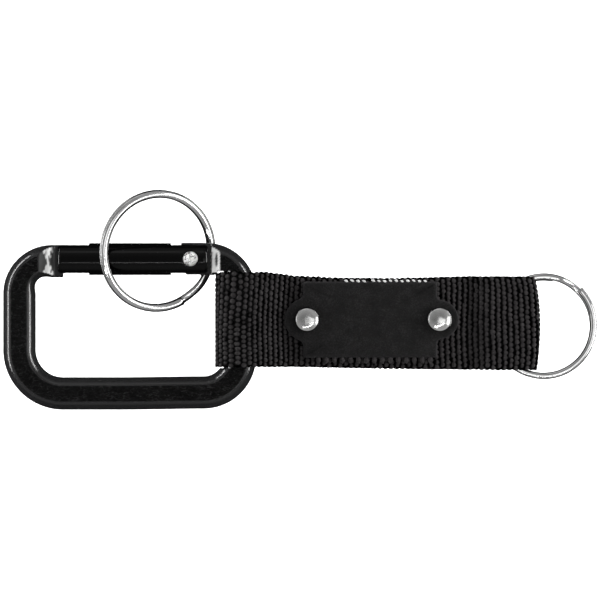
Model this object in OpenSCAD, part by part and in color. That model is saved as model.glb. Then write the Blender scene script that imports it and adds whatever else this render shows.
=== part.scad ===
// Carabiner keyring: a snap hook with a sprung gate and a split ring, and a riveted webbing
// strap that ends in a second split ring. It lies on its back, +X along its length, +Z up,
// with the origin under the middle of its bounding box. Millimetres.

/* [Overall] */
// Length from the carabiner's end to the strap ring's end
overall_l = 170; // [166:1:174]
// Width from the carabiner's long bar to the key ring's far side
overall_w = 62.8; // [60:0.2:66]
// Height of the carabiner's middle plane above the table
lift = 8; // [8:0.05:9]

/* [Carabiner body] */
// Outside length of the body
body_l = 72.3; // [70:0.1:74]
// Outside width of the body, across the gate
body_w = 47.7; // [46:0.1:49]
// Width of the bar, seen from above
bar_w = 9.3; // [9:0.1:9.6]
// Thickness of the bar between its two pressed flats
bar_t = 7.8; // [7.4:0.1:8.2]
// Centreline radius of the corner above the nose
nose_corner_r = 8.6; // [8:0.1:9]
// Centreline radius of the far corner on the nose side
long_corner_r = 12.5; // [11:0.1:14]
// Centreline radius of the far corner on the strap side
strap_corner_r = 10.4; // [9.6:0.1:10.6]
// Centreline radius of the corner behind the hinge
hinge_corner_r = 9.6; // [9:0.1:10]
// Thickness of the nose and hinge tongues
tongue_t = 4.0; // [3.4:0.1:4.0]

/* [Gate] */
// Diameter of the gate
gate_d = 9.14; // [8.8:0.02:9.2]
// Width of the slots in both ends of the gate
slot_w = 4.4; // [4.4:0.1:4.8]
// Radius of the hinge rivet's shank
pin_r = 1.3; // [1.1:0.05:1.4]
// Radius of the bore that holds the spring and plunger
bore_r = 2.4; // [2.3:0.05:2.6]
// Plunger travel for each radian of gate opening
cam_rate = 0.6; // [0.3:0.05:0.8]

/* [Split rings] */
// Outside diameter of the key ring on the gate
key_ring_d = 35; // [34:0.1:35.4]
// Outside diameter of the ring in the strap's end
strap_ring_d = 30.4; // [29:0.1:31]
// Tilt of the key ring where it threads over and under the gate, in degrees
key_ring_tilt = 23.7; // [23.6:0.1:24]

/* [Strap] */
// Width of the webbing
strap_w = 25.4; // [24:0.2:25.4]
// Thickness of one layer of webbing
web_t = 1.6; // [1.4:0.05:1.7]
// Thickness of the leather patch
patch_t = 1.2; // [1:0.1:1.4]
// Diameter of the rivet caps
cap_d = 7; // [6:0.5:7.5]
// Distance between the two rivets
rivet_pitch = 38; // [36:0.5:39]

/* [Hidden] */
$fn = 64;
eps = 0.01;
run_gap = 0.05; // radial clearance of a shaft that turns or slides

// Centrelines of the body's bars, and the gate's axis
nose_bar_x = (bar_w - overall_l) / 2;
strap_bar_x = nose_bar_x + body_l - bar_w;
long_bar_y = (bar_w - overall_w) / 2;
gate_y = long_bar_y + body_w - bar_w;
nose_y = gate_y - 0.6; // the nose is pressed a little lower than the hinge

// The gate, from its nose end to its hinge end
gate_r = gate_d / 2;
pin_x = strap_bar_x - 14.05;
gate_x0 = pin_x - 37.9;
gate_x1 = pin_x + 4.9;
gate_l = gate_x1 - gate_x0;
nose_slot_l = 8.9;
hinge_slot_l = 10.6;
gate_open_deg = 35;
bore_x0 = gate_x0 + nose_slot_l + 3;
head_seat = gate_r - 0.5; // height of the spot faces under the rivet's heads
head_r = 2.1;
head_h = 1.2;

// The tongues: their tips, and where the milled shoulders leave the flats
nose_tip_x = gate_x0 + 6.4;
nose_shoulder = [gate_x0 - 5.3, gate_x0 - 0.8];
hinge_shoulder = [pin_x + 8.45, pin_x + 5.75];
cam_h = 3.2; // pin centre to the plunger's seat with the gate shut
tongue_low = -bar_w / 2 + 0.2;

// Plunger and spring, both on the gate's axis
plunger_gap = 0.03;
plunger_r = bore_r - 0.1;
plunger_head_l = 1.8;
plunger_x1 = pin_x - cam_h - plunger_gap;
plunger_back = plunger_x1 - plunger_head_l;
plunger_rod = [1.2, 6]; // radius and length of the rod inside the spring
spring_wire = 0.5;
spring_turns = 11;

// Split rings: radial width and height of the wire, one value for each ring
key_wire = [2.3, 1.14];
strap_wire = [1.9, 1.14];
turn_gap = 0.06; // between the two turns
key_ring_pos = [pin_x - 9.45, overall_w / 2 - key_ring_d / 2 * 0.996, lift];
key_ring_heading = -15; // direction of the key ring's lowest point
key_ring_split = -45;
strap_ring_split = 62;

// Strap frame: u runs along the strap from the bar's axis, w is normal to it
strap_y = -6.4;
loop_r = 5.0; // inside radius of the loop round the bar
loop_slack = 0.6; // how far the loop stands off the bar on its inner side
loop_ease = [0.7, 3.2]; // how far the loop opens at its edges, and over what width
lap_u = 12.2; // where the two layers have met
flex_u = 65.5; // where the webbing bends beyond the patch
flex_gap = 0.3;
tunnel_u = 70.6; // where the layers have parted again round the strap ring
tunnel_h = 3.0;
fold_u = 85.3; // outside of the fold at the strap's end
fold_centre_u = fold_u - tunnel_h / 2 - web_t;
strap_fall = asin((lift - tunnel_h / 2 - web_t) / fold_centre_u); // its end rests on the table
strap_ring_u = 87.25; // centre of the strap ring
strap_ring_y = -1.16; // and its offset from the strap's middle
left_rivet_u = 19.0;
rivet_u = [left_rivet_u, left_rivet_u + rivet_pitch];

// Patch outline: a plaque with a round lobe at each rivet
patch_y = 0.75; // offset of the patch's middle from the strap's
patch_u = -0.7; // and from the middle of the rivets
patch_size = [rivet_pitch + 0.2, 21.6];
lobe_r = 6.0;
patch_fillet = 2.2;

// Rivets: all heights are measured from the strap's middle plane
post_r = 1.25;
hole_r = 1.3;
cap_shell = 0.35;
cap_h = 1.55;
flange_r = 2.7;
flange_t = 0.35;
strap_top = web_t;
patch_top = web_t + patch_t;
rivet_base_h = 1.0;

// ---------------------------------------------------------------- frames

module on_gate_axis(x = 0) translate([x, gate_y, lift]) rotate([0, 90, 0]) children();

module on_strap() translate([strap_bar_x, strap_y, lift]) rotate([0, strap_fall, 0]) children();

// Extrudes an outline drawn in the strap's u-w plane across the strap
module across(width) rotate([90, 0, 0]) linear_extrude(height = width, center = true) children();

// ---------------------------------------------------------------- carabiner body

module bar_section() intersection() {
    circle(d = bar_w);
    square([bar_w, bar_t], center = true);
}

module bar_x(x0, x1, y) translate([x0, y, lift]) rotate([90, 0, 90])
    linear_extrude(height = x1 - x0) bar_section();

module bar_y(y0, y1, x) translate([x, y1, lift]) rotate([90, 0, 0])
    linear_extrude(height = y1 - y0) bar_section();

// A quarter bend whose centre lies dx, dy from the corner of the centrelines
module bend(x, y, r, dx, dy, from) translate([x + dx * r, y + dy * r, lift])
    rotate([0, 0, from]) rotate_extrude(angle = 90) translate([r, 0]) bar_section();

module bent_bar() {
    bar_y(long_bar_y + long_corner_r, nose_y - nose_corner_r, nose_bar_x);
    bar_x(nose_bar_x + long_corner_r, strap_bar_x - strap_corner_r, long_bar_y);
    bar_y(long_bar_y + strap_corner_r, gate_y - hinge_corner_r, strap_bar_x);
    bar_x(nose_bar_x + nose_corner_r, nose_tip_x, nose_y);
    bar_x(pin_x - cam_h, strap_bar_x - hinge_corner_r, gate_y);
    bend(nose_bar_x, nose_y, nose_corner_r, 1, -1, 90);
    bend(nose_bar_x, long_bar_y, long_corner_r, 1, 1, 180);
    bend(strap_bar_x, long_bar_y, strap_corner_r, -1, 1, 270);
    bend(strap_bar_x, gate_y, hinge_corner_r, -1, -1, 0);
}

// Milled away on one side of a tongue: a sloping shoulder, then the tongue's flat
module shoulder_cut(shoulder, tip_x) {
    reach = 1.2 * bar_w;
    out = 2 * (shoulder[0] < shoulder[1] ? 1 : -1);
    slope = (bar_t - tongue_t) / 2 / (shoulder[1] - shoulder[0]);
    translate([0, gate_y + reach / 2, lift]) rotate([90, 0, 0]) linear_extrude(height = reach)
        polygon([
            [shoulder[0] - out, bar_t / 2 + out * slope],
            [shoulder[1], tongue_t / 2],
            [tip_x + out, tongue_t / 2],
            [tip_x + out, bar_t],
            [shoulder[0] - out, bar_t]
        ]);
}

module both_sides() {
    children();
    translate([0, 0, 2 * lift]) mirror([0, 0, 1]) children();
}

// Point of the cam that the plunger's flat face touches with the gate open by a degrees
function cam_point(a) =
    let (h = cam_h + cam_rate * a * PI / 180)
    [-h * cos(a) + cam_rate * sin(a), -h * sin(a) - cam_rate * cos(a)];

// Everything to the left of the hinge tongue's end, with the cam's curve left standing
module cam_cut() {
    curve = [for (a = [0 : 5 : gate_open_deg]) cam_point(a)];
    last = curve[len(curve) - 1];
    fall = last[1] - tongue_low;
    translate([pin_x, gate_y, lift - bar_t]) linear_extrude(height = 2 * bar_t)
        polygon(concat(
            [[-cam_h - 2, bar_w], [-2.7, bar_w], [-2.7, bar_w / 2 - 0.4], [-cam_h, 2.8]],
            curve,
            [last + [fall * tan(gate_open_deg), -fall], [-0.5, -bar_w], [-cam_h - 2, -bar_w]]
        ));
}

// Rounds the nose tongue's tip and clears the space under it
module nose_cut() {
    translate([gate_x0, gate_y, lift - bar_t]) linear_extrude(height = 2 * bar_t)
        polygon([
            [7, -bar_w], [7, bar_w], [4.6, bar_w], [4.9, 3.9], [5.9, 3.3], [6.4, 2.2],
            [6.4, -1.6], [5.6, -2.9], [4.2, -3.7], [1.4, -4.1], [1.2, -bar_w]
        ]);
}

// Opens the inside of the hinge corner, so that the strap's loop can turn round the bar
module hinge_corner_cut() {
    y1 = gate_y + tongue_low;
    y0 = gate_y - hinge_corner_r - 0.3;
    difference() {
        translate([pin_x - cam_h - 1, y0, lift - bar_t])
            cube([strap_bar_x - pin_x + cam_h + 1, y1 - y0, 2 * bar_t]);
        translate([strap_bar_x, y1 + 1, lift]) rotate([90, 0, 0])
            cylinder(d = bar_w + 0.1, h = y1 - y0 + 2);
    }
}

module carabiner_body() color([0.09, 0.09, 0.1]) difference() {
    bent_bar();
    both_sides() shoulder_cut(nose_shoulder, nose_tip_x);
    both_sides() shoulder_cut(hinge_shoulder, pin_x - cam_h);
    cam_cut();
    nose_cut();
    hinge_corner_cut();
    translate([pin_x, gate_y, lift - bar_t]) cylinder(r = pin_r + run_gap, h = 2 * bar_t);
}

// ---------------------------------------------------------------- gate

// The gate's bar, with a small bevel round each end
module gate_bar() {
    bevel = 0.5;
    on_gate_axis(gate_x0) rotate_extrude() polygon([
        [0, 0], [gate_r - bevel, 0], [gate_r, bevel],
        [gate_r, gate_l - bevel], [gate_r - bevel, gate_l], [0, gate_l]
    ]);
}

module gate_slot(x0, x1) translate([x0, gate_y - gate_r - 1, lift - slot_w / 2])
    cube([x1 - x0, gate_d + 2, slot_w]);

// Rounds the fork's inner corner about the pin, so that the gate can swing in
module fork_relief() {
    swing_r = 5.4;
    difference() {
        translate([pin_x, gate_y - gate_d, lift - gate_d]) cube([gate_d, gate_d, 2 * gate_d]);
        translate([pin_x, gate_y, lift - gate_d - 1]) cylinder(r = swing_r, h = 2 * gate_d + 2);
    }
}

module gate_tube() color([0.07, 0.07, 0.08]) difference() {
    gate_bar();
    on_gate_axis(bore_x0) cylinder(r = bore_r, h = gate_x1 - bore_x0 + 1);
    gate_slot(gate_x0 - 1, gate_x0 + nose_slot_l);
    gate_slot(gate_x1 - hinge_slot_l, gate_x1 + 1);
    fork_relief();
    translate([pin_x, gate_y, lift - gate_d]) cylinder(r = pin_r + run_gap, h = 2 * gate_d);
    both_sides() translate([pin_x, gate_y, lift + head_seat])
        cylinder(r = head_r + 2 * run_gap, h = gate_d);
}

// Shank with a domed head at each end
module gate_hinge_rivet() {
    z1 = head_seat + run_gap;
    dome = [for (a = [0 : 15 : 90]) [head_r * cos(a), z1 + head_h * (0.35 + 0.65 * sin(a))]];
    half = concat([[pin_r, z1], [head_r, z1]], dome);
    other = [for (i = [len(half) - 1 : -1 : 0]) [half[i][0], -half[i][1]]];
    color([0.85, 0.85, 0.84]) translate([pin_x, gate_y, lift])
        rotate_extrude() polygon(concat(other, half));
}

// A closed tube of radius r through the points of a path, each with its two side directions
module swept(path, side, up, outline) {
    n = len(outline);
    m = len(path);
    points = [for (i = [0 : m - 1]) for (p = outline) path[i] + side[i] * p[0] + up[i] * p[1]];
    walls = [for (i = [0 : m - 2]) for (k = [0 : n - 1]) for (half = [0, 1])
        let (a = i * n + k, b = i * n + (k + 1) % n)
        half == 0 ? [a, b, a + n] : [b, b + n, a + n]];
    first_cap = [for (k = [1 : n - 2]) [0, k + 1, k]];
    last_cap = [for (k = [1 : n - 2]) [(m - 1) * n, (m - 1) * n + k, (m - 1) * n + k + 1]];
    polyhedron(points = points, faces = concat(walls, first_cap, last_cap));
}

module gate_spring() {
    r = bore_r - 0.2 - spring_wire / 2;
    z0 = spring_wire / 2 + 0.05;
    z1 = plunger_back - bore_x0 - spring_wire / 2 - 0.05;
    steps = spring_turns * 16;
    turn = [for (i = [0 : steps]) 360 * spring_turns * i / steps];
    path = [for (i = [0 : steps]) [r * cos(turn[i]), r * sin(turn[i]), z0 + (z1 - z0) * i / steps]];
    side = [for (a = turn) [cos(a), sin(a), 0]];
    up = [for (a = turn) [0, 0, 1]];
    wire = [for (k = [0 : 5]) spring_wire / 2 * [cos(60 * k), sin(60 * k)]];
    color([0.7, 0.7, 0.72]) on_gate_axis(bore_x0) swept(path, side, up, wire);
}

module gate_plunger() color([0.72, 0.72, 0.74]) {
    on_gate_axis(plunger_back) cylinder(r = plunger_r, h = plunger_head_l);
    on_gate_axis(plunger_back - plunger_rod[1]) cylinder(r = plunger_rod[0], h = plunger_rod[1] + eps);
}

// ---------------------------------------------------------------- split rings

// Two turns of wire that change places in one short step, where both ends show
module split_ring(d, wire) {
    step = 15; // half the angle of the step
    cut = 2; // angle left open beside the step
    rise = (wire[1] + turn_gap) / 2;
    r = (d - wire[0]) / 2;
    ease = 0.32; // rounding of the wire's edges
    turn = concat(
        [for (a = [step + cut : 5.4 : 360 - step]) a],
        [for (a = [360 - step : 5 : 360 + step]) a],
        [for (a = [360 + step + 5.4 : 5.4 : 720 - step - cut]) a]
    );
    function level(a) = let (s = max(-1, min(1, (a - 360) / step))) rise * sin(90 * s);
    path = [for (a = turn) [r * cos(a), r * sin(a), level(a)]];
    side = [for (a = turn) [cos(a), sin(a), 0]];
    up = [for (a = turn) [0, 0, 1]];
    x = wire[0] / 2;
    y = wire[1] / 2;
    outline = [
        [x, y - ease], [x - ease, y], [ease - x, y], [-x, y - ease],
        [-x, ease - y], [ease - x, -y], [x - ease, -y], [x, ease - y]
    ];
    swept(path, side, up, outline);
}

module key_ring() color([0.82, 0.82, 0.82]) translate(key_ring_pos)
    rotate([0, 0, key_ring_heading]) rotate([0, key_ring_tilt, 0])
        rotate([0, 0, key_ring_split - key_ring_heading]) split_ring(key_ring_d, key_wire);

module strap_ring() color([0.82, 0.82, 0.82]) on_strap()
    translate([strap_ring_u, strap_ring_y, 0]) rotate([0, 0, strap_ring_split])
        split_ring(strap_ring_d, strap_wire);

// ---------------------------------------------------------------- webbing

// Where a line from the lap's corner touches the outside of the loop
lap_angle = atan2(web_t, lap_u) + acos((loop_r + web_t) / norm([lap_u, web_t]));

module loop_outline(r, end) {
    touch = r * [cos(lap_angle), sin(lap_angle)];
    circle(r = r);
    translate([-loop_slack, 0]) circle(r = r);
    translate([-loop_slack, -r]) square([loop_slack, 2 * r]);
    polygon(concat([[0, 0], touch], end, [[touch[0], -touch[1]]]));
}

module rivet_holes() for (u = rivet_u)
    translate([u, patch_y, -5]) cylinder(r = hole_r, h = 12);

// The loop round the bar and the doubled run to the bend beyond the patch
module webbing_main() {
    outside = [[lap_u, web_t], [lap_u, -web_t]];
    apex = [[loop_r / cos(lap_angle), 0]];
    color([0.13, 0.13, 0.14]) on_strap() difference() {
        union() {
            across(strap_w) loop_outline(loop_r + web_t, outside);
            translate([lap_u, -strap_w / 2, -web_t])
                cube([flex_u - web_t - flex_gap - lap_u, strap_w, 2 * web_t]);
        }
        across(strap_w + 2) loop_outline(loop_r, apex);
        for (end = [-1, 1]) translate([0, end * (strap_w / 2 - loop_ease[1]), 0])
            rotate([-90 * end, 0, 0])
                cylinder(r1 = loop_r, r2 = loop_r + loop_ease[0], h = loop_ease[1] + eps);
        rivet_holes();
    }
}

// Room for the strap ring to turn where it presses the fold's edge aside
module strap_ring_room() {
    side_gap = 0.3;
    room_h = tunnel_h - 0.1;
    translate([strap_ring_u, strap_ring_y, 0]) rotate_extrude()
        translate([strap_ring_d / 2 - strap_wire[0] - side_gap, -room_h / 2])
            square([strap_wire[0] + 2 * side_gap, room_h]);
}

// The end beyond the bend, with the tunnel and fold that hold the strap ring
module webbing_tail() {
    half = tunnel_h / 2;
    part_u = flex_u + 2;
    fold = fold_centre_u;
    color([0.13, 0.13, 0.14]) on_strap() difference() {
        union() {
            translate([flex_u, 0, 0]) rotate([90, 0, 0]) cylinder(r = web_t, h = strap_w, center = true);
            across(strap_w) polygon([
                [flex_u, -web_t], [part_u, -web_t], [tunnel_u, -half - web_t],
                [fold, -half - web_t], [fold, half + web_t], [tunnel_u, half + web_t],
                [part_u, web_t], [flex_u, web_t]
            ]);
            translate([fold, 0, 0]) rotate([90, 0, 0])
                cylinder(r = half + web_t, h = strap_w, center = true);
        }
        across(strap_w + 2) polygon([
            [part_u + 0.5, 0], [tunnel_u + 0.2, -half], [fold, -half], [fold, half], [tunnel_u + 0.2, half]
        ]);
        translate([fold, 0, 0]) rotate([90, 0, 0]) cylinder(r = half, h = strap_w + 2, center = true);
        strap_ring_room();
    }
}

module patch_outline() offset(r = -patch_fillet) offset(delta = patch_fillet) {
    translate([patch_u + rivet_u[0] + rivet_pitch / 2, 0]) square(patch_size, center = true);
    for (u = rivet_u) translate([patch_u + u, 0]) circle(r = lobe_r, $fn = 40);
}

module leather_patch() color([0.1, 0.1, 0.1]) on_strap() difference() {
    translate([0, patch_y, strap_top + eps]) linear_extrude(height = patch_t - eps) patch_outline();
    rivet_holes();
}

// ---------------------------------------------------------------- rivets

// Places a rivet part's half profile, drawn as radius and height over the strap's middle plane
module rivet_part(index, tint) color(tint) on_strap()
    translate([rivet_u[index], patch_y, 0]) rotate_extrude() children();

// Thin domed shell that clips over a flange, open towards the strap
module dome_profile(r, h) {
    crown = [for (a = [0 : 10 : 90]) [r * cos(a), h * (0.28 + 0.72 * sin(a))]];
    hollow = [for (a = [90 : -15 : 0])
        [(r - cap_shell) * cos(a), (h - cap_shell) * (0.28 + 0.72 * sin(a))]];
    polygon(concat([[r, 0]], crown, hollow, [[r - cap_shell, 0]]));
}

module rivet_cap(index) rivet_part(index, [0.8, 0.8, 0.78])
    translate([0, patch_top + eps]) dome_profile(cap_d / 2, cap_h);

// Flanged stud that goes through the patch and both layers into the socket
module rivet_post(index) rivet_part(index, [0.75, 0.75, 0.75]) polygon([
    [0, -web_t + 0.2], [post_r, -web_t + 0.2], [post_r, patch_top + eps],
    [flange_r, patch_top + eps], [flange_r, patch_top + flange_t], [0, patch_top + flange_t]
]);

// Flanged cup under the strap, with a nipple that closes in the stud's end
module rivet_socket(index) rivet_part(index, [0.75, 0.75, 0.75]) polygon([
    [0, -web_t + 0.15], [0.9, -web_t + 0.15], [0.9, -web_t - eps], [flange_r, -web_t - eps],
    [flange_r, -web_t - flange_t], [0, -web_t - flange_t]
]);

module rivet_base(index) rivet_part(index, [0.8, 0.8, 0.78])
    mirror([0, 1]) translate([0, web_t + eps]) dome_profile(cap_d / 2, rivet_base_h);

// ---------------------------------------------------------------- nodes

carabiner_body();
gate_tube();
gate_hinge_rivet();
gate_spring();
gate_plunger();
key_ring();
strap_ring();
webbing_main();
webbing_tail();
leather_patch();
rivet_cap(0);  // left_rivet_cap
rivet_post(0);  // left_rivet_post
rivet_socket(0);  // left_rivet_socket
rivet_base(0);  // left_rivet_base
rivet_cap(1);  // right_rivet_cap
rivet_post(1);  // right_rivet_post
rivet_socket(1);  // right_rivet_socket
rivet_base(1);  // right_rivet_base
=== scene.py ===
"""A carabiner keyring with a webbing strap, seen from straight above over a light floor.
Lengths in the helpers are millimetres in the row frame; meshes are stored in metres."""

import math

import bpy
import numpy as np
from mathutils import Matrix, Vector


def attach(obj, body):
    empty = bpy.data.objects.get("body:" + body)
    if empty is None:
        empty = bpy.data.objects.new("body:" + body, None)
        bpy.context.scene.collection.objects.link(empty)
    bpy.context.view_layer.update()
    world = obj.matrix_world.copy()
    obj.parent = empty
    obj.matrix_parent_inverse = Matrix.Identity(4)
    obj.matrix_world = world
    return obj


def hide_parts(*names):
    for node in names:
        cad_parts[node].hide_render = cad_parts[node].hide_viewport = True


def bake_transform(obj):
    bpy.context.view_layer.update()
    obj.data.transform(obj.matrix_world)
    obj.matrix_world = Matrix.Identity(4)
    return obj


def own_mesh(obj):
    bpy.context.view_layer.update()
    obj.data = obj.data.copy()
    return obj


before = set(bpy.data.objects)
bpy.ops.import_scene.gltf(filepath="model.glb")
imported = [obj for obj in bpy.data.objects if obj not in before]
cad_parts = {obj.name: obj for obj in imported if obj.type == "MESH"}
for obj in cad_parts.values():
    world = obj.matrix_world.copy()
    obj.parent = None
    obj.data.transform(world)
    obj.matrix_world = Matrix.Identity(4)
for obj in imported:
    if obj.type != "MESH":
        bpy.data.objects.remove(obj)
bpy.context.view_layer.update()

# ---------------------------------------------------------------- sizes, millimetres

LIFT = 8.0
BAR_W, BAR_T, TONGUE_T = 9.3, 7.8, 4.0
NOSE_X, STRAP_X, LONG_Y, GATE_Y = -80.35, -17.35, -26.75, 11.65
NOSE_Y = GATE_Y - 0.6
R_NOSE, R_LONG, R_STRAP, R_HINGE = 9.35, 12.5, 10.4, 9.6
PIN_X = STRAP_X - 14.05
GATE_R, GATE_X0, GATE_X1 = 4.57, PIN_X - 37.9, PIN_X + 4.9
SLOT_W, NOSE_SLOT, HINGE_SLOT = 4.4, 8.9, 10.6

FALL = math.asin((LIFT - 3.1) / 82.2)
STRAP_Y, STRAP_W, WEB_T = -6.4, 25.4, 1.6
LOOP_R, LAP_U, FLEX_U = 5.0, 12.2, 65.5
PATCH_Y, PATCH_T = 0.75, 1.2
RIVET_U = (19.0, 57.0)
KEY_RING = dict(pos=(PIN_X - 9.45, 31.4 - 17.43, LIFT), heading=-15, tilt=23.7, split=-45, d=35.0, wire=(2.3, 1.14))
STRAP_RING = dict(u=87.25, y=-1.16, split=62, d=30.4, wire=(1.9, 1.14))

PIXELS_PER_MM = 3.5  # of the 600 pixel view
VIEW_CENTRE_PX = 300.7  # the pixel column of the row frame's X = 0
FLOOR_Z, FLOOR_HALF = -130, 3000  # low enough that nothing that swings down is hidden

rng = np.random.default_rng(7)


def strap_point(u, y, w):
    """A point of the strap frame (along, across, above its middle plane) in the row frame."""
    return np.stack([
        STRAP_X + u * math.cos(FALL) + w * math.sin(FALL),
        STRAP_Y + y + 0 * u,
        LIFT - u * math.sin(FALL) + w * math.cos(FALL),
    ], axis=-1)


# ---------------------------------------------------------------- mesh helpers


def mesh_object(name, points, faces, material, smooth_deg=35.0):
    """An object from points in millimetres, shaded smooth but for its sharp edges."""
    me = bpy.data.meshes.new(name)
    me.from_pydata([tuple(p) for p in np.asarray(points, float) * 0.001], [], [tuple(int(i) for i in f) for f in faces])
    me.update()
    if smooth_deg:
        me.shade_smooth()
        me.set_sharp_from_angle(angle=math.radians(smooth_deg))
    me.materials.append(material)
    ob = bpy.data.objects.new(name, me)
    bpy.context.scene.collection.objects.link(ob)
    return ob


def add_attribute(ob, key, values):
    attribute = ob.data.attributes.new(key, "FLOAT", "POINT")
    attribute.data.foreach_set("value", np.asarray(values, np.float32).ravel())


def grid_faces(rows, cols, close_cols=True, start=0):
    """Quads over rows x cols points, the columns joined in a ring."""
    out = []
    last = cols if close_cols else cols - 1
    for i in range(rows - 1):
        a = start + i * cols
        for k in range(last):
            b = (k + 1) % cols
            out.append((a + k, a + b, a + cols + b, a + cols + k))
    return out


def loft(name, rings, material, smooth_deg=35.0):
    """A closed skin over rings of points, each ring wound the same way, with flat ends."""
    rings = np.asarray(rings, float)
    n, m = rings.shape[:2]
    faces = grid_faces(n, m)
    faces.append(tuple(reversed(range(m))))
    faces.append(tuple((n - 1) * m + k for k in range(m)))
    ob = mesh_object(name, rings.reshape(-1, 3), faces, material, smooth_deg)
    return ob


def lathe(name, profile, material, segments=96, smooth_deg=35.0, place=None):
    """A solid of revolution about Z from (radius, height) pairs, from the axis out and back to it."""
    a = np.linspace(0, 2 * math.pi, segments, endpoint=False)
    ring = np.stack([np.cos(a), np.sin(a)], -1)
    points, rows = [], []
    for r, z in profile:
        if r < 1e-6:
            rows.append([len(points)])
            points.append((0, 0, z))
        else:
            rows.append(list(range(len(points), len(points) + segments)))
            points += [(r * c, r * s, z) for c, s in ring]
    faces = []
    for p, q in zip(rows, rows[1:]):
        for k in range(segments):
            j = (k + 1) % segments
            if len(p) == 1:
                faces.append((p[0], q[j], q[k]))
            elif len(q) == 1:
                faces.append((p[k], p[j], q[0]))
            else:
                faces.append((p[k], p[j], q[j], q[k]))
    points = np.array(points, float)
    if place is not None:
        points = place(points)
    return mesh_object(name, points, faces, material, smooth_deg)


# ---------------------------------------------------------------- materials


def material(name, build):
    """A node material; build(new, link, out) makes the nodes and links a surface to out."""
    mat = bpy.data.materials.new(name)
    mat.use_nodes = True
    tree = mat.node_tree
    tree.nodes.clear()
    out = tree.nodes.new("ShaderNodeOutputMaterial")

    def new(kind, **values):
        node = tree.nodes.new(kind)
        for key, value in values.items():
            if key in node.inputs:
                node.inputs[key].default_value = value
            else:
                setattr(node, key, value)
        return node

    def link(a, b):
        tree.links.new(a, b)

    build(new, link, out)
    return mat


def noise(new, link, coords, scale, detail=4.0, rough=0.6, stretch=None, distort=0.0):
    vector = coords
    if stretch is not None:
        mapping = new("ShaderNodeMapping")
        mapping.inputs["Scale"].default_value = stretch
        link(coords, mapping.inputs["Vector"])
        vector = mapping.outputs["Vector"]
    node = new("ShaderNodeTexNoise")
    node.inputs["Scale"].default_value = scale
    node.inputs["Detail"].default_value = detail
    node.inputs["Roughness"].default_value = rough
    node.inputs["Distortion"].default_value = distort
    link(vector, node.inputs["Vector"])
    return node.outputs["Fac"]


def ramp(new, link, fac, stops):
    node = new("ShaderNodeValToRGB")
    cr = node.color_ramp
    while len(cr.elements) < len(stops):
        cr.elements.new(0.5)
    for e, (pos, value) in zip(cr.elements, stops):
        e.position = pos
        e.color = (*value, 1) if hasattr(value, "__len__") else (value, value, value, 1)
    link(fac, node.inputs["Fac"])
    return node.outputs["Color"]


def bump(new, link, height, strength, distance, normal=None):
    node = new("ShaderNodeBump")
    node.inputs["Strength"].default_value = strength
    node.inputs["Distance"].default_value = distance
    link(height, node.inputs["Height"])
    if normal is not None:
        link(normal, node.inputs["Normal"])
    return node.outputs["Normal"]


def math_node(new, link, op, a, b=None):
    node = new("ShaderNodeMath")
    node.operation = op
    for i, v in enumerate((a, b)):
        if v is None:
            continue
        if isinstance(v, (int, float)):
            node.inputs[i].default_value = v
        else:
            link(v, node.inputs[i])
    return node.outputs[0]


def mix_color(new, link, fac, a, b):
    node = new("ShaderNodeMix")
    node.data_type = "RGBA"
    for key, v in (("Factor", fac), ("A", a), ("B", b)):
        socket = next(s for s in node.inputs if s.name == key and s.enabled)
        if isinstance(v, (int, float)) and key == "Factor":
            socket.default_value = v
        elif isinstance(v, tuple):
            socket.default_value = (*v, 1)
        else:
            link(v, socket)
    return next(s for s in node.outputs if s.enabled)


def principled(new, link, out, color, rough, metallic=0.0, normal=None, coat=0.0, coat_rough=0.1, sheen=0.0, spec=0.5):
    node = new("ShaderNodeBsdfPrincipled")
    for key, v in (("Base Color", color), ("Roughness", rough), ("Metallic", metallic)):
        if isinstance(v, tuple):
            node.inputs[key].default_value = (*v, 1)
        elif isinstance(v, (int, float)):
            node.inputs[key].default_value = v
        else:
            link(v, node.inputs[key])
    node.inputs["Specular IOR Level"].default_value = spec
    node.inputs["Coat Weight"].default_value = coat
    node.inputs["Coat Roughness"].default_value = coat_rough
    node.inputs["Sheen Weight"].default_value = sheen
    node.inputs["Sheen Roughness"].default_value = 0.5
    if normal is not None:
        link(normal, node.inputs["Normal"])
    link(node.outputs["BSDF"], out.inputs["Surface"])
    return node


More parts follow.
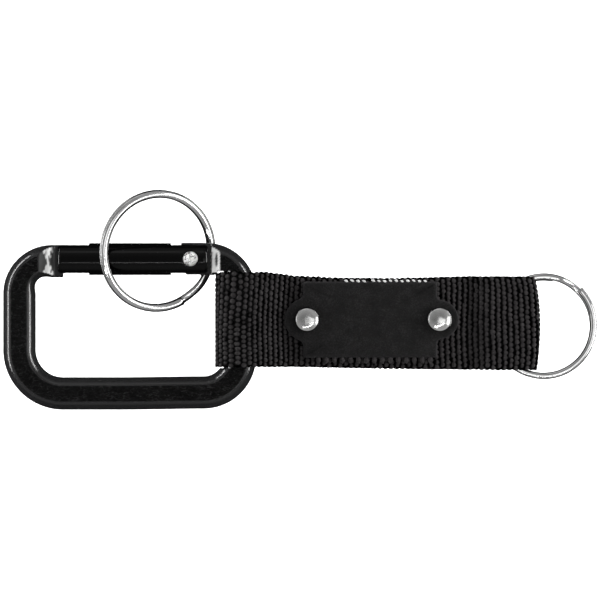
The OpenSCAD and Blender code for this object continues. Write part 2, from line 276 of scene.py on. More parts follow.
def body_black(new, link, out):
    """Black coat with a pebbled skin on the pressed flats, and bare milled metal where "bare" is 1."""
    co = new("ShaderNodeTexCoord").outputs["Object"]
    bare = new("ShaderNodeAttribute", attribute_name="bare").outputs["Fac"]
    flat = new("ShaderNodeAttribute", attribute_name="flat").outputs["Fac"]
    tone = new("ShaderNodeAttribute", attribute_name="tone").outputs["Fac"]
    pebble = noise(new, link, co, 1300, 5, 0.70, stretch=(0.55, 1.0, 1.0), distort=1.4)
    grit = noise(new, link, co, 2600, 3, 0.6)
    height = math_node(new, link, "ADD", pebble, math_node(new, link, "MULTIPLY", grit, 0.35))
    strength = math_node(new, link, "ADD", math_node(new, link, "MULTIPLY", flat, 0.95), 0.04)
    skin = new("ShaderNodeBump")
    skin.inputs["Distance"].default_value = 0.00045
    link(strength, skin.inputs["Strength"])
    link(height, skin.inputs["Height"])
    # painted shade: on the flats the colour follows the pebble's height, near black in its pits and dark grey on its
    # bumps
    pebble_shade_stops = [(0.44, (0.0002, 0.0002, 0.0002)), (0.54, (0.0035, 0.0035, 0.0036)), (0.64, (0.024, 0.024, 0.0245))]
    pebble_shade = ramp(new, link, pebble, pebble_shade_stops)
    color = mix_color(new, link, flat, (0.016, 0.016, 0.0165), pebble_shade)
    rough = ramp(new, link, noise(new, link, co, 420, 4), [(0.3, 0.16), (0.8, 0.24)])
    rough = math_node(new, link, "ADD", rough, math_node(new, link, "MULTIPLY", flat, 0.30))
    milled = noise(new, link, co, 900, 3, 0.6, stretch=(1.0, 0.12, 1.0))
    metal = ramp(new, link, milled, [(0.3, (0.86, 0.86, 0.85)), (0.7, (0.98, 0.98, 0.97))])
    # painted shade and reflection: where the tone attribute is 0 the bare metal is darkened to grey
    metal = mix_color(new, link, tone, (0.07, 0.07, 0.07), metal)
    dark = new("ShaderNodeBsdfPrincipled")
    link(color, dark.inputs["Base Color"])
    link(rough, dark.inputs["Roughness"])
    shine = math_node(new, link, "MULTIPLY_ADD", flat, -0.60)
    shine.node.inputs[2].default_value = 0.66
    link(shine, dark.inputs["Specular IOR Level"])
    link(skin.outputs["Normal"], dark.inputs["Normal"])
    bright = new("ShaderNodeBsdfPrincipled")
    bright.inputs["Metallic"].default_value = 0.6
    bright.inputs["Roughness"].default_value = 0.32
    link(metal, bright.inputs["Base Color"])
    link(bump(new, link, milled, 0.5, 0.00015), bright.inputs["Normal"])
    mix = new("ShaderNodeMixShader")
    link(bare, mix.inputs[0])
    link(dark.outputs["BSDF"], mix.inputs[1])
    link(bright.outputs["BSDF"], mix.inputs[2])
    link(mix.outputs[0], out.inputs["Surface"])


def gate_black(new, link, out):
    co = new("ShaderNodeTexCoord").outputs["Object"]
    drawn = noise(new, link, co, 700, 3, 0.5, stretch=(0.05, 1, 1))
    specks = ramp(new, link, noise(new, link, co, 1900, 2, 0.5), [(0.70, 0.0), (0.78, 1.0)])
    color = mix_color(new, link, specks, (0.0015, 0.0015, 0.0016), (0.02, 0.02, 0.021))
    rough = ramp(new, link, drawn, [(0.3, 0.09), (0.8, 0.16)])
    principled(new, link, out, color, rough, normal=bump(new, link, drawn, 0.06, 0.0001), spec=0.22)


def nickel(low, high, rough, scratch, flank_shade):
    """Plating whose steep sides, by their own normals at rest, are darkened to a given grey: painted shade."""
    def build(new, link, out):
        co = new("ShaderNodeTexCoord").outputs["Object"]
        fine = noise(new, link, co, 1400, 4, 0.6)
        broad = noise(new, link, co, 300, 3, 0.5)
        color = ramp(new, link, broad, [(0.3, low), (0.7, high)])
        shade_by_facing = new("ShaderNodeSeparateXYZ")
        link(new("ShaderNodeTexCoord").outputs["Normal"], shade_by_facing.inputs["Vector"])
        # painted shade: the steeper the surface, the nearer its colour is to the flank grey
        shade_by_facing = ramp(new, link, math_node(new, link, "ABSOLUTE", shade_by_facing.outputs["Z"]), [(0.74, 0.0), (0.92, 1.0)])
        color = mix_color(new, link, shade_by_facing, (flank_shade, flank_shade, flank_shade), color)
        r = ramp(new, link, fine, [(0.3, rough * 0.7), (0.8, rough * 1.5)])
        principled(new, link, out, color, r, 1.0, bump(new, link, fine, scratch, 0.00008))
    return build


def steel(new, link, out):
    co = new("ShaderNodeTexCoord").outputs["Object"]
    dents = noise(new, link, co, 900, 4, 0.65, distort=1.2)
    color = ramp(new, link, dents, [(0.40, (0.05, 0.05, 0.05)), (0.47, (0.92, 0.92, 0.91)), (0.6, (0.98, 0.98, 0.97))])
    principled(new, link, out, color, 0.38, 1.0, bump(new, link, dents, 0.9, 0.0007))


def webbing(new, link, out):
    """Filament yarn: fine lines along each float, with painted shade where the yarn dives under its neighbours."""
    co = new("ShaderNodeTexCoord").outputs["Object"]
    crest = new("ShaderNodeAttribute", attribute_name="crest").outputs["Fac"]
    fibres = noise(new, link, co, 2600, 3, 0.6, stretch=(0.5, 1, 1), distort=0.3)
    shade = noise(new, link, co, 700, 4, 0.65)
    base = ramp(new, link, shade, [(0.3, (0.020, 0.0185, 0.019)), (0.7, (0.046, 0.043, 0.044))])
    light = ramp(new, link, fibres, [(0.45, 0.0), (0.75, 0.5)])
    color = mix_color(new, link, light, base, (0.075, 0.070, 0.072))
    # painted shade: where the crest attribute is low the yarn's colour goes near black
    color = mix_color(new, link, crest, (0.0004, 0.0004, 0.0004), color)
    node = principled(new, link, out, color, 0.75, 0.0, bump(new, link, fibres, 0.5, 0.00012), spec=0.1)
    link(math_node(new, link, "MULTIPLY", crest, 0.14), node.inputs["Specular IOR Level"])


def web_core(new, link, out):
    co = new("ShaderNodeTexCoord").outputs["Object"]
    fibres = noise(new, link, co, 1800, 3)
    # painted shade: the weft is coloured near black, darker than the yarns, so the gaps between them read dark
    color = ramp(new, link, fibres, [(0.3, (0.002, 0.002, 0.002)), (0.7, (0.006, 0.006, 0.006))])
    principled(new, link, out, color, 0.9, 0.0, bump(new, link, fibres, 0.5, 0.0001), spec=0.1)


def leather(new, link, out):
    """Fine pebbled grain with pores, faint mottling, and a painted highlight along the cut edges."""
    co = new("ShaderNodeTexCoord").outputs["Object"]
    edge = new("ShaderNodeAttribute", attribute_name="edge").outputs["Fac"]
    cells = new("ShaderNodeTexVoronoi")
    cells.feature = "DISTANCE_TO_EDGE"
    cells.inputs["Scale"].default_value = 2300
    link(co, cells.inputs["Vector"])
    grain = ramp(new, link, cells.outputs["Distance"], [(0.0, 0.0), (0.22, 1.0)])
    speck = noise(new, link, co, 2300, 3, 0.75)
    mottle = noise(new, link, co, 260, 5, 0.6)
    height = math_node(new, link, "ADD", math_node(new, link, "MULTIPLY", grain, 0.6), speck)
    fine_part = math_node(new, link, "MULTIPLY", speck, 0.62)
    broad_part = math_node(new, link, "MULTIPLY", mottle, 0.38)
    tone = math_node(new, link, "ADD", fine_part, broad_part)
    stops = [(0.32, (0.0020, 0.0018, 0.0019)), (0.50, (0.0072, 0.0069, 0.0071)), (0.66, (0.023, 0.022, 0.0225))]
    color = ramp(new, link, tone, stops)
    # painted highlight: where the edge attribute is 1 the cut edge's rim is paler grey
    color = mix_color(new, link, edge, color, (0.026, 0.025, 0.026))
    principled(new, link, out, color, 0.72, 0.0, bump(new, link, height, 0.6, 0.0002), spec=0.22)


def coil_steel(new, link, out):
    co = new("ShaderNodeTexCoord").outputs["Object"]
    lines = noise(new, link, co, 1500, 3, 0.5)
    color = ramp(new, link, lines, [(0.3, (0.45, 0.45, 0.46)), (0.7, (0.65, 0.65, 0.66))])
    principled(new, link, out, color, 0.3, 1.0, bump(new, link, lines, 0.3, 0.0001))


def gap_light_pills(new, link, out):
    # painted light: a pale colour for the bright floor seen through gaps at the webbing's edge
    co = new("ShaderNodeTexCoord").outputs["Object"]
    twist = noise(new, link, co, 3000, 3, 0.6)
    color = ramp(new, link, twist, [(0.3, (0.75, 0.75, 0.74)), (0.7, (0.95, 0.95, 0.94))])
    principled(new, link, out, color, 0.7, 0.0, bump(new, link, twist, 0.4, 0.0001), sheen=0.3)


BODY = material("body_coat", body_black)
GATE = material("gate_gloss", gate_black)
RING = material("ring_plating", nickel((0.78, 0.78, 0.78), (0.92, 0.92, 0.92), 0.10, 0.10, 0.05))
CAP = material("cap_plating", nickel((0.74, 0.74, 0.73), (0.93, 0.93, 0.92), 0.17, 0.22, 0.10))
RIVET = material("peened_steel", steel)
YARN = material("webbing_yarn", webbing)
CORE = material("webbing_core", web_core)
HIDE = material("patch_hide", leather)
COIL = material("coil_wire", coil_steel)
GAP_LIGHT = material("gap_light_pills", gap_light_pills)


# ---------------------------------------------------------------- carabiner body


def smooth_step(x, a, b):
    t = np.clip((x - a) / (b - a), 0, 1)
    return t * t * (3 - 2 * t)


def body_path():
    """Stations along the bar's centreline from the nose's tip to the hinge tongue: x, y, tangent."""
    def arc(cx, cy, r, a0, a1, n):
        a = np.radians(np.linspace(a0, a1, n))
        turn = 1 if a1 > a0 else -1
        return [(cx + r * math.cos(t), cy + r * math.sin(t), -turn * math.sin(t), turn * math.cos(t)) for t in a]

    def line(x0, y0, x1, y1, step):
        length = math.hypot(x1 - x0, y1 - y0)
        n = max(2, int(length / step))
        tx, ty = (x1 - x0) / length, (y1 - y0) / length
        return [(x0 + (x1 - x0) * t, y0 + (y1 - y0) * t, tx, ty) for t in np.linspace(0, 1, n, endpoint=False)][1:]

    p = []
    p += [(x, NOSE_Y, -1.0, 0.0) for x in np.arange(GATE_X0 + 6.6, NOSE_X + R_NOSE, -0.2)]
    p += arc(NOSE_X + R_NOSE, NOSE_Y - R_NOSE, R_NOSE, 90, 180, 60)[1:]
    p += line(NOSE_X, NOSE_Y - R_NOSE, NOSE_X, LONG_Y + R_LONG, 1.0)
    p += arc(NOSE_X + R_LONG, LONG_Y + R_LONG, R_LONG, 180, 270, 44)
    p += line(NOSE_X + R_LONG, LONG_Y, STRAP_X - R_STRAP, LONG_Y, 1.0)
    p += arc(STRAP_X - R_STRAP, LONG_Y + R_STRAP, R_STRAP, 270, 360, 40)
    p += line(STRAP_X, LONG_Y + R_STRAP, STRAP_X, GATE_Y - R_HINGE, 1.0)
    p += arc(STRAP_X - R_HINGE, GATE_Y - R_HINGE, R_HINGE, 0, 90, 60)
    x = STRAP_X - R_HINGE
    while x > PIN_X - 3.2:
        x -= 0.2
        p.append((x, GATE_Y, -1.0, 0.0))
    return p


def prism(name, outline, z0, z1, mat):
    """A closed block over an outline that runs anticlockwise."""
    n = len(outline)
    points = [(x, y, z) for z in (z0, z1) for x, y in outline]
    faces = [tuple(reversed(range(n))), tuple(range(n, 2 * n))]
    faces += [(k, (k + 1) % n, n + (k + 1) % n, n + k) for k in range(n)]
    return mesh_object(name, points, faces, mat, 0)


def boolean(target, cutter):
    """Cuts one object from another and removes the cutter."""
    mod = target.modifiers.new("cut", "BOOLEAN")
    mod.operation = "DIFFERENCE"
    mod.solver = "EXACT"
    mod.object = cutter
    bpy.context.view_layer.objects.active = target
    bpy.ops.object.modifier_apply(modifier=mod.name)
    bpy.data.objects.remove(cutter)


def build_body():
    across = 80
    rings, flats, bares, painted_light_tones = [], [], [], []
    theta = np.linspace(0, 2 * math.pi, across, endpoint=False)
    c, s = np.cos(theta), np.sin(theta)
    half, soft = BAR_T / 2, 0.22
    n0, n1 = GATE_X0 - 5.3, GATE_X0 - 0.8
    h0, h1 = PIN_X + 8.45, PIN_X + 6.05
    for x, y, tx, ty in body_path():
        nx, ny = ty, -tx  # outwards
        out = BAR_W / 2 * c
        up = BAR_W / 2 * s
        if x < NOSE_X + R_NOSE and y > NOSE_Y - R_NOSE:  # the forged corner is thinner inside
            turn = abs(2 * tx * ty)
            out = np.where(c < 0, out * (1 - 0.215 * turn**1.5), out)
        over = np.abs(up) - (half - soft)
        up = np.where(over > 0, np.sign(up) * (half - soft + soft * np.tanh(over / soft)), up)
        flat = np.clip((np.abs(BAR_W / 2 * s) - half) / 0.25, 0, 1)
        bare, tone = np.zeros(across), np.zeros(across)
        px, py = x + nx * out, y + ny * out
        if y > GATE_Y - 8 and x < (GATE_X0 + GATE_X1) / 2:
            dy = py - NOSE_Y
            wave = 0.30 * np.cos(dy / 2.2)
            t = np.clip((px + wave - n0) / (n1 - n0), -1, 1)
            limit = half + (TONGUE_T / 2 - half) * t
            mid = (n0 + n1) / 2 + 0.25
            saddle = np.abs(dy) / 3.9 - np.abs(px - mid) / 1.5
            fade_in, fade_out = smooth_step(px, n0 + 0.3, n0 + 1.2), smooth_step(-px, -n1 - 0.1, -n1 + 0.7)
            limit = limit + 0.05 * np.clip(saddle, -1, 1) * fade_in * fade_out
            bare = smooth_step(px, n0 - 0.15 + 0.035 * dy**2 * (dy > 0), n0 + 0.15 + 0.035 * dy**2 * (dy > 0))
            bare = np.where(px > n1 + 0.15 - 0.02 * dy**2, 0, bare)
            # painted shade and highlight: the nose's bare facets are light at top and bottom and along a narrow slanted
            # line, grey elsewhere
            tone = smooth_step(saddle + 0.35 * np.sin(5 * px) * np.sin(2.2 * py), -0.15, 0.25)
            tone = np.maximum(tone, smooth_step(-np.abs(px - mid + 0.1 * dy), -0.35, -0.1))
        elif y > GATE_Y - 8 and px.min() < h0 + 3:
            t = (px - h0) / (h1 - h0)
            limit = np.where(t > 1.02, TONGUE_T / 2, half - 1.05 * np.clip(t, -1, 1))
            bare = smooth_step(-px, -h0 - 0.05, -h0 + 0.1) * (px > h1 - 0.15)
            # painted reflection: a dark grey streak across the hinge shoulder's bare metal, which is also a little
            # darker towards the pin
            painted_streak = np.hypot((px - h1 - 1.35) / 0.42, (py - GATE_Y + 0.2) / 2.1)
            tone = smooth_step(painted_streak, 0.75, 1.15) * (0.82 + 0.18 * smooth_step(px, h1, h0))
        else:
            limit = np.full(across, 99.0)
        cut = np.abs(up) > limit
        up = np.where(cut, np.sign(up) * limit, up)
        flat = np.where(cut, 0, flat)
        rings.append(np.stack([px, py, LIFT + up], -1))
        flats.append(flat)
        bares.append(bare * cut)
        painted_light_tones.append(tone)
    rings = np.array(rings)
    p = rings.reshape(-1, 3)
    # the long bar is not quite straight
    p[:, 1] += 0.28 * smooth_step(p[:, 0], -52, -26) * (p[:, 1] < LONG_Y + 12) * smooth_step(-p[:, 1], 15.5, 19)
    # the strap's loop turns round the short bar, so the corner above it is relieved
    r = np.hypot(p[:, 0] - STRAP_X, p[:, 2] - LIFT)
    near = (p[:, 1] < GATE_Y - 4.45) & (p[:, 1] > GATE_Y - R_HINGE - 0.3)
    near &= (p[:, 0] < STRAP_X) & (p[:, 0] > STRAP_X - 12)
    k = np.where(near & (r > 4.7), 4.7 / np.maximum(r, 1e-6), 1.0)
    p[:, 0] = STRAP_X + (p[:, 0] - STRAP_X) * k
    p[:, 2] = LIFT + (p[:, 2] - LIFT) * k
    tongue = (p[:, 0] < h1) & (p[:, 0] > PIN_X - 5) & (p[:, 1] > GATE_Y - 8)
    p[:, 1] = np.where(tongue, np.maximum(p[:, 1], GATE_Y - 4.45), p[:, 1])
    ob = loft("body_bar", rings, BODY, 28)
    for key, values in (("flat", flats), ("bare", bares), ("tone", painted_light_tones)):
        add_attribute(ob, key, values)
    # the tongues' outlines: the rounded nose, and the cam that works the plunger
    nose = [(7, -9.3), (7.5, -9.3), (7.5, 9.3), (4.6, 9.3), (4.9, 3.9), (5.9, 3.3), (6.4, 2.2), (6.4, -1.6), 
            (5.6, -2.9), (4.2, -3.7), (1.4, -4.1), (1.2, -9.3)]
    nose = [(GATE_X0 + x, GATE_Y + y) for x, y in nose]
    boolean(ob, prism("nose_cut", nose, LIFT - 6, LIFT + 6, BODY))
    cam = []
    for a in np.radians(np.arange(0, 36, 2.5)):
        h = 3.2 + 0.6 * a
        cam.append((-h * math.cos(a) + 0.6 * math.sin(a), -h * math.sin(a) - 0.6 * math.cos(a)))
    fall = cam[-1][1] + 4.45
    cam = [(-6, 9.3), (-6, -9.3), (-0.5, -9.3), (cam[-1][0] + fall * 0.7, -4.45)] + cam[::-1]
    cam += [(-3.2, 2.8), (-2.7, 4.25), (-2.7, 9.3)]
    cam = [(PIN_X + x, GATE_Y + y) for x, y in cam]
    boolean(ob, prism("cam_cut", cam, LIFT - 6, LIFT + 6, BODY))

    def round_bar(q):
        """From a lathe about Z to the short bar's axis."""
        return np.stack([STRAP_X + q[:, 0], q[:, 2], LIFT - q[:, 1]], -1)

    # room for the loop's two edges in the corners at the bar's ends
    for y0, y1 in ((GATE_Y - 5.4, GATE_Y - 3.4), (-19.5, -16.5)):
        room = [(4.71, y0), (7.35, y0), (7.35, y1), (4.71, y1), (4.71, y0)]
        boolean(ob, lathe("loop_room", room, BODY, 96, 0, round_bar))
    ob.data.shade_smooth()
    ob.data.set_sharp_from_angle(angle=math.radians(28))
    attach(ob, "carabiner")
    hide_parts("carabiner_body")


build_body()


# ---------------------------------------------------------------- gate


def block(name, x0, x1, y0, y1, z0, z1):
    return prism(name, [(x0, y0), (x1, y0), (x1, y1), (x0, y1)], z0, z1, GATE)


def along_gate(points):
    """From a lathe about Z to the gate's axis."""
    return np.stack([points[:, 2], GATE_Y + points[:, 1], LIFT - points[:, 0]], -1)


def build_gate():
    b = 0.55
    xs = [(0, GATE_X0), (GATE_R - b, GATE_X0), (GATE_R - 0.12, GATE_X0 + b - 0.12), (GATE_R, GATE_X0 + b + 0.1)]
    xs += [(GATE_R, x) for x in np.arange(GATE_X0 + 1.2, GATE_X1 - 1, 1.0)]
    xs += [(GATE_R, GATE_X1 - b - 0.1), (GATE_R - 0.12, GATE_X1 - b + 0.12), (GATE_R - b, GATE_X1), (0, GATE_X1)]
    ob = lathe("gate_bar", xs, GATE, 128, 30, along_gate)
    h = SLOT_W / 2
    boolean(ob, block("c1", GATE_X0 - 2, GATE_X0 + NOSE_SLOT, GATE_Y - 8, GATE_Y + 8, LIFT - h, LIFT + h))
    boolean(ob, block("c2", GATE_X1 - HINGE_SLOT, GATE_X1 + 2, GATE_Y - 8, GATE_Y + 8, LIFT - h, LIFT + h))
    # round the fork's inner corner about the pin
    a = np.radians(np.linspace(-90, 0, 24))
    outline = [(PIN_X + 5.4 * math.cos(t), GATE_Y + 5.4 * math.sin(t)) for t in a]
    outline = [(PIN_X + 0.6, GATE_Y - 8)] + [(max(x, PIN_X + 0.6), y) for x, y in outline]
    outline += [(PIN_X + 9, GATE_Y), (PIN_X + 9, GATE_Y - 8)]
    boolean(ob, prism("c3", outline, LIFT - 8, LIFT + 8, GATE))
    bore_r, bore_x0, bore_x1 = 2.4, GATE_X0 + NOSE_SLOT + 3, GATE_X1 - 5
    bore = [(0, bore_x0), (bore_r, bore_x0), (bore_r, bore_x1), (0, bore_x1)]
    boolean(ob, lathe("c5", bore, GATE, 64, 0, along_gate))
    for side in (-1, 1):
        def at_pin(p, s=side):
            return np.stack([PIN_X + p[:, 0], GATE_Y + s * p[:, 1], LIFT + s * (GATE_R - 0.5 + p[:, 2])], -1)

        boolean(ob, lathe("c4", [(0, 0), (2.2, 0), (2.2, 5), (0, 5)], GATE, 64, 0, at_pin))
    bevel = ob.modifiers.new("edge", "BEVEL")
    bevel.width = 0.00012
    bevel.segments = 2
    bevel.limit_method = "ANGLE"
    bevel.angle_limit = math.radians(40)
    bpy.context.view_layer.objects.active = ob
    bpy.ops.object.modifier_apply(modifier=bevel.name)
    ob.data.shade_smooth()
    ob.data.set_sharp_from_angle(angle=math.radians(32))
    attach(ob, "gate")
    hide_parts("gate_tube")


build_gate()


def build_hinge_rivet():
    """A shank and two peened heads, their domes slightly uneven."""
    profile = [(0, 0), (1.28, 0), (1.28, GATE_R - 0.42), (2.02, GATE_R - 0.40)]
    profile += [(2.12, GATE_R - 0.15), (2.08, GATE_R + 0.08)]
    dome = [math.radians(a) for a in range(8, 90, 9)]
    profile += [(2.0 * math.cos(a), GATE_R + 0.1 + 0.62 * math.sin(a)) for a in dome]
    profile += [(0, GATE_R + 0.72)]
    for side, name in ((1, "hinge_rivet_top"), (-1, "hinge_rivet_under")):
        def place(p, s=side):
            q = p.copy()
            broad = 0.10 * np.sin(3.1 * q[:, 0] + 1.3) * np.cos(2.3 * q[:, 1] - 0.6)
            lump = broad + 0.05 * np.sin(6 * q[:, 1] + q[:, 0] * 4)
            q[:, 2] += np.where(q[:, 2] > GATE_R, lump, 0)
            return np.stack([PIN_X + q[:, 0], GATE_Y + s * q[:, 1], LIFT + s * q[:, 2]], -1)
        ob = lathe(name, profile, RIVET, 64, 50, place)
        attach(ob, "carabiner")
        if side == 1:
            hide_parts("gate_hinge_rivet")


build_hinge_rivet()


def build_spring():
    """The gate's coil spring, one fixed mesh; in the real gate it shortens as the plunger is pushed back."""
    x0, length, turns, r, wire = GATE_X0 + NOSE_SLOT + 3.3, 20.37, 11, 1.95, 0.25
    a = np.linspace(0, 2 * math.pi * turns, turns * 28)
    centre = np.stack([x0 + length * a / a[-1], GATE_Y + r * np.sin(a), LIFT - r * np.cos(a)], -1)
    radial = np.stack([0 * a, np.sin(a), -np.cos(a)], -1)
    along = np.array([1.0, 0, 0])
    section = np.linspace(0, 2 * math.pi, 10, endpoint=False)
    rings = [centre + wire * (math.cos(t) * radial + math.sin(t) * along) for t in section]
    ob = loft("spring_coil", np.stack(rings, 1), COIL, 50)
    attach(ob, "gate")
    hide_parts("gate_spring")
    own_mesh(ob)


build_spring()

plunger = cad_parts["gate_plunger"].data
plunger.materials.clear()
plunger.materials.append(COIL)


# ---------------------------------------------------------------- split rings


def split_ring(name, spec, place, body, node, gape=0.0):
    """Two turns of half-round wire with one short step; gape opens the upper turn's end outwards."""
    w, h = spec["wire"]
    gap, step, cut = 0.05, 15.0, 1.5
    r = (spec["d"] - w) / 2
    turn = np.concatenate([
        np.arange(step + cut, 360 - step, 2.5), np.arange(360 - step, 360 + step, 1.5),
        np.arange(360 + step, 720 - step - cut, 2.5), [720 - step - cut],
    ])
    a = np.radians(turn)
    z = (h + gap) / 2 * np.sin(math.pi / 2 * np.clip((turn - 360) / step, -1, 1))
    spread = gape * (smooth_step(turn, 640, 705) - 0.7 * smooth_step(80 - turn, 0, 65))
    shape = []
    for t in np.linspace(0, 2 * math.pi, 24, endpoint=False):
        c, s = math.cos(t), math.sin(t)
        shape.append((w / 2 * math.copysign(abs(c) ** 0.92, c), h / 2 * math.copysign(abs(s) ** 0.92, s)))
    shape = np.array(shape)
    rings = []
    for i, t in enumerate(a):
        k = 1.0
        if i in (0, len(a) - 1):
            k = 0.86
        radial = np.array([math.cos(t), math.sin(t), 0])
        centre = radial * (r + spread[i]) + np.array([0, 0, z[i]])
        rings.append(centre + k * (shape[:, :1] * radial + shape[:, 1:] * np.array([0, 0, 1.0])))
    rings = np.array(rings)
    flat = place(rings.reshape(-1, 3)).reshape(rings.shape)
    ob = loft(name, flat[::-1], RING, 40)
    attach(ob, body)
    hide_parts(node)
    return ob


def rotate_z(p, deg):
    c, s = math.cos(math.radians(deg)), math.sin(math.radians(deg))
    return np.stack([c * p[:, 0] - s * p[:, 1], s * p[:, 0] + c * p[:, 1], p[:, 2]], -1)


def rotate_y(p, deg):
    c, s = math.cos(math.radians(deg)), math.sin(math.radians(deg))
    return np.stack([c * p[:, 0] + s * p[:, 2], p[:, 1], -s * p[:, 0] + c * p[:, 2]], -1)


def place_key_ring(p):
    p = rotate_z(p, KEY_RING["split"] - KEY_RING["heading"])
    p = rotate_z(rotate_y(p, KEY_RING["tilt"]), KEY_RING["heading"])
    return p + np.array(KEY_RING["pos"])


def place_strap_ring(p):
    p = rotate_z(p, STRAP_RING["split"])
    return strap_point(STRAP_RING["u"] + p[:, 0], STRAP_RING["y"] + p[:, 1], p[:, 2])


split_ring("key_ring_wire", KEY_RING, place_key_ring, "key_ring", "key_ring")
split_ring("strap_ring_wire", STRAP_RING, place_strap_ring, "strap_ring", "strap_ring", gape=0.45)


# ---------------------------------------------------------------- webbing

HALF_T = WEB_T / 2
RIB = 1.58
WARPS = 37
FOLD_U, TUNNEL = 82.2, 1.5


def strap_line():
    """The webbing's middle surface in the strap's u-w plane, from under the patch's middle round the
    bar's loop, back below, round the ring's fold and to the patch again."""
    pts = []
    mid = LOOP_R + HALF_T
    lap = math.degrees(math.atan2(WEB_T, LAP_U) + math.acos((LOOP_R + WEB_T) / math.hypot(LAP_U, WEB_T)))
    for u in np.arange(38, LAP_U + 1.5, -0.5):
        pts.append((u, HALF_T))
    for a in np.arange(lap, 360 - lap + 0.1, 3.0):
        pts.append((mid * math.cos(math.radians(a)), mid * math.sin(math.radians(a))))
    for u in np.arange(LAP_U + 1.8, 66, 0.5):
        pts.append((u, -HALF_T))
    open_w = TUNNEL + HALF_T
    for u in np.arange(71.5, FOLD_U, 0.5):
        pts.append((u, -open_w))
    for a in np.arange(-90, 90.1, 6):
        pts.append((FOLD_U + open_w * math.cos(math.radians(a)), open_w * math.sin(math.radians(a))))
    for u in np.arange(FOLD_U - 0.5, 71.0, -0.5):
        pts.append((u, open_w))
    for u in np.arange(66, 38, -0.5):
        pts.append((u, HALF_T))
    return np.array(pts)


def resample(pts, step):
    """Evenly spaced points of a softened polyline, with their outward normals."""
    d = np.concatenate([[0], np.cumsum(np.hypot(*np.diff(pts, axis=0).T))])
    s = np.arange(0, d[-1], step / 4)
    q = np.stack([np.interp(s, d, pts[:, 0]), np.interp(s, d, pts[:, 1])], -1)
    kernel = np.hanning(13)
    kernel /= kernel.sum()
    pad = len(kernel) // 2
    q2 = np.pad(q, ((pad, pad), (0, 0)), mode="edge")
    q = np.stack([np.convolve(q2[:, i], kernel, "valid") for i in (0, 1)], -1)
    q = q[::4]
    t = np.gradient(q, axis=0)
    t /= np.linalg.norm(t, axis=1, keepdims=True)
    n = np.stack([t[:, 1], -t[:, 0]], -1)
    return q, n


def shape_strap(u, y, w):
    """Moves a point of the flat strap to where handling has left it: the loop stands off the bar,
    the edges spread and draw in along the strap, and the fold bows out in its middle."""
    top, low = smooth_step(y, 1.0, 12.7), smooth_step(-y, 1.0, 12.7)
    front = smooth_step(w, 0.0, 1.5)
    right = np.interp(u, [-8, 0.5, 7, 11, 16, 22, 30, 42, 56, 64, 80],
                      [1.2, 1.35, 1.45, 1.05, 0.40, 0.05, -0.40, -0.45, -0.1, 0.15, 0.15])
    left = 1.42 - 0.25 * smooth_step(-u, 4.5, 6.5)
    rise = np.where(u < 0.5, np.minimum(left, right + 0.8), right)
    rise = rise * (front + (1 - front) * np.where(u < 8, 0.35, 0.8))
    drop = np.interp(u, [-8, 4, 16, 34, 43, 62, 86], [0.15, 0.22, 0.22, -0.15, -0.40, -0.55, -0.85])
    y2 = y + top * rise + low * drop
    bow = smooth_step(u, 62, 84) * (1.45 * np.clip(1 - ((y + 1.2) / 13.5) ** 2, 0, 1) ** 0.8 - 0.25)
    slack = -0.78 * smooth_step(-u, -1.0, 6.0)
    return u + bow + slack, y2, w


def webbing_yarns():
    """Warp yarns that float over and under alternate ribs. Over the bar the ribs are opened into a
    honeycomb; elsewhere they are packed into upright ribs with dark pits of painted shade between."""
    per_rib = 8
    q, n = resample(strap_line(), RIB / per_rib)
    count = len(q)
    station = np.arange(count)
    pitch = STRAP_W / WARPS
    around = np.linspace(0, 2 * math.pi, 8, endpoint=False)
    packed = np.where(q[:, 0] < 8, smooth_step(q[:, 0], 2.0, 6.5), 1.0)
    packed = np.maximum(packed * (0.78 + 0.22 * np.sin(station / 31.0)), 0.0)
    tubes, painted_shade_levels = [], []
    sway = 0.30 * np.sin(station / 140.0)
    for i in range(WARPS):
        jitter = rng.normal(0, 0.05, count // per_rib + 2)
        wobble = np.interp(station / per_rib, np.arange(len(jitter)), jitter)
        drift = 0.5 * np.sin(station / 97.0 + 0.17 * i)
        phase = math.pi * (station / per_rib + i) + drift + sway * (i - 18) / 9 + rng.normal(0, 0.10)
        wave = np.cos(phase)
        power = 0.75 + 0.25 * packed
        lift = (0.30 + 0.04 * packed) * np.sign(wave) * np.abs(wave) ** power
        rising = -np.sin(phase)
        crest = np.abs(wave) ** (1.2 - 0.3 * packed)
        half_w = (0.34 + 0.02 * packed) + (0.28 + 0.10 * packed) * crest
        half_h = 0.22 + 0.08 * crest
        y = -STRAP_W / 2 + pitch * (i + 0.5) + wobble
        ribs = count // per_rib + 2
        patchy = np.interp(station / per_rib, np.arange(ribs), rng.normal(0, 0.06, ribs))
        ring, shade_level = [], []
        for t in around:
            ct, st = math.cos(t), math.sin(t)
            yy = y + half_w * math.copysign(abs(ct) ** 0.7, ct)
            hh = lift + half_h * math.copysign(abs(st) ** 0.75, st)
            u, y2, w = shape_strap(q[:, 0] + n[:, 0] * hh, yy, q[:, 1] + n[:, 1] * hh)
            ring.append(strap_point(u, y2, w))
            # painted shade: each point's level is low where the yarn dives under its neighbours and on its inner face,
            # and lower towards its sides; 1 is unshaded
            face = np.where(st > -0.01, lift, -lift)
            bridge = 0.17 * rising * packed
            rim = 0.16 * max(abs(ct) - 0.3, 0) * (1 - 0.6 * packed)
            shade_level.append(smooth_step(face + bridge - rim + patchy, 0.04 + 0.02 * packed, 0.22 + 0.07 * packed))
        tubes.append(np.stack(ring, 1))
        painted_shade_levels.append(np.stack(shade_level, 1))
    return np.array(tubes), np.array(painted_shade_levels), q


TUBES, PAINTED_SHADE_LEVELS, LINE = webbing_yarns()


